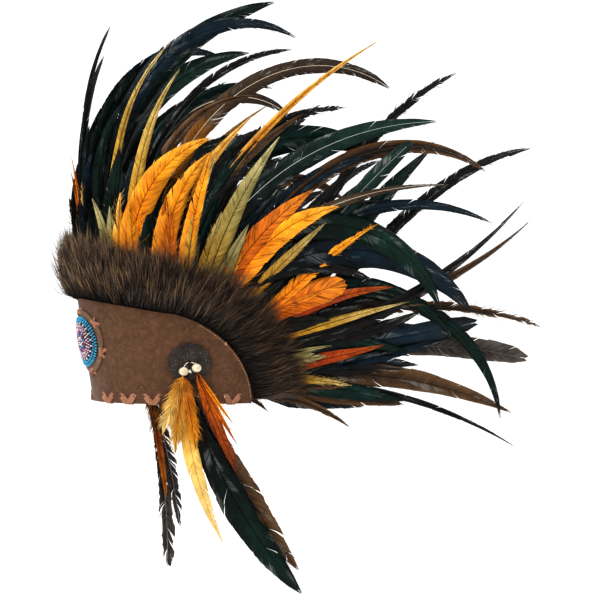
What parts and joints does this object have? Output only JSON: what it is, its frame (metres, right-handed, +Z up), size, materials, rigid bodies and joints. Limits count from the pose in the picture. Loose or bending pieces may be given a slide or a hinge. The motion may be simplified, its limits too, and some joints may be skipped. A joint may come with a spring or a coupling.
{
  "type": "feathered headdress with suede band",
  "caption": "Suede band with a beaded rosette, fur trim, swept-back tail feathers and hackles, and side discs with hanging feather drops.",
  "frame": {"origin": "centre of the head opening, level with the suede band's bottom edge", "axes": "+Z up; the wearer faces -Y; +X is the wearer's left"},
  "size_m": [0.2836, 0.4172, 0.5423],
  "materials": {
    "suede": "napped brown suede",
    "strap_leather": "plain smooth leather",
    "fur": "deep dark brown fur on the hide",
    "feather": "natural feathers, glossy dark green and black with dyed orange hackles",
    "hackle": "dyed orange hackles and dark tail feathers",
    "rosette_leather": "cut leather with a pale raw edge",
    "glass_beads": "opaque glass seed beads in rings",
    "disc_leather": "dark grained leather",
    "pale_wood": "bare pale turned wood"
  },
  "bodies": {
    "root": {"headband": "suede", "back_strap": "strap_leather", "fur_trim_front": "fur", "fur_trim_left": "fur", "fur_trim_right": "fur", "plume_left": "feather", "plume_right": "feather", "rosette_backing": "rosette_leather", "rosette_beadwork": "glass_beads", "disc_left": "disc_leather", "disc_right": "disc_leather", "bead_left_front": "pale_wood", "bead_left_rear": "pale_wood", "bead_right_front": "pale_wood", "bead_right_rear": "pale_wood", "drop_feathers_left_front": "hackle", "drop_feathers_left_rear": "hackle", "drop_feathers_right_front": "hackle", "drop_feathers_right_rear": "hackle"}
  },
  "joints": []
}
